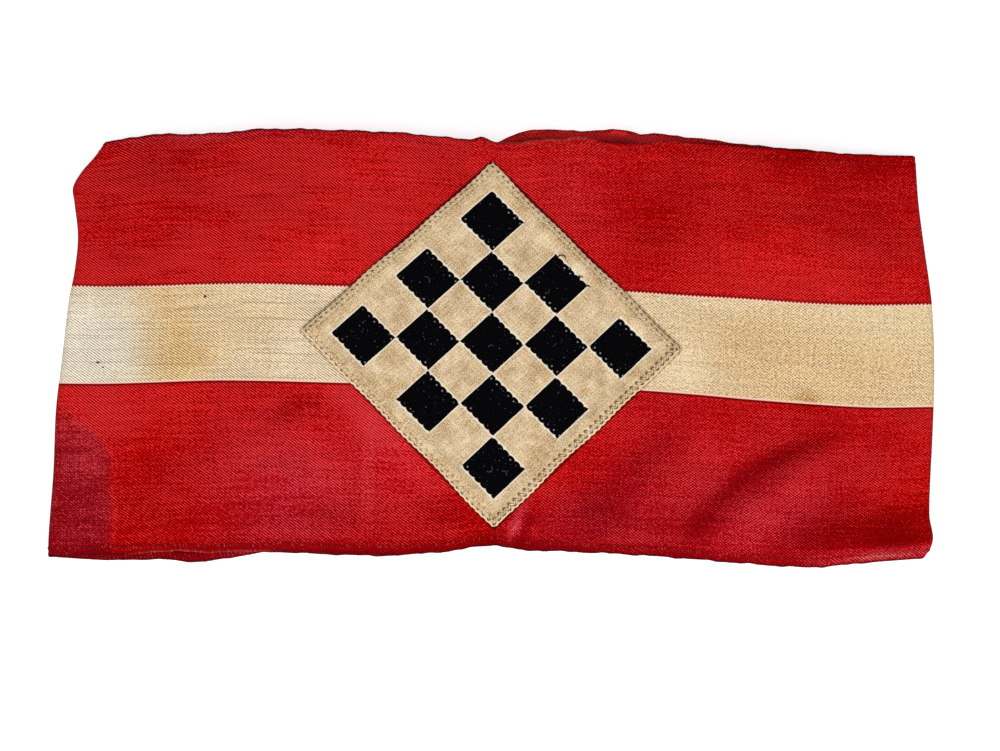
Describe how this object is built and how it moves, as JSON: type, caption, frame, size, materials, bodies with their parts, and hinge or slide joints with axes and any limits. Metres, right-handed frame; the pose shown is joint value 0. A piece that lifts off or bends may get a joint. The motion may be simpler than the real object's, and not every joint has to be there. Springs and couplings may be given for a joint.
{
  "type": "striped cloth armband lying flat",
  "caption": "Cloth armband with red and cream stripes and a sewn-on lozenge patch, a closed loop lying flat and softly creased.",
  "frame": {"origin": "centre of the underside's outline, on the surface that the armband lies on", "axes": "+X along the armband to the right, +Y up its height from the lower hem to the upper one, +Z away from the surface"},
  "size_m": [0.214, 0.1056, 0.0098],
  "materials": {
    "striped_twill": "red cotton twill with a cream stripe, slightly faded and stained",
    "patch_cloth": "fine cream cloth with a black woven chequer, edges turned under and stitched"
  },
  "bodies": {
    "root": {"band": "striped_twill", "patch": "patch_cloth"}
  },
  "joints": []
}
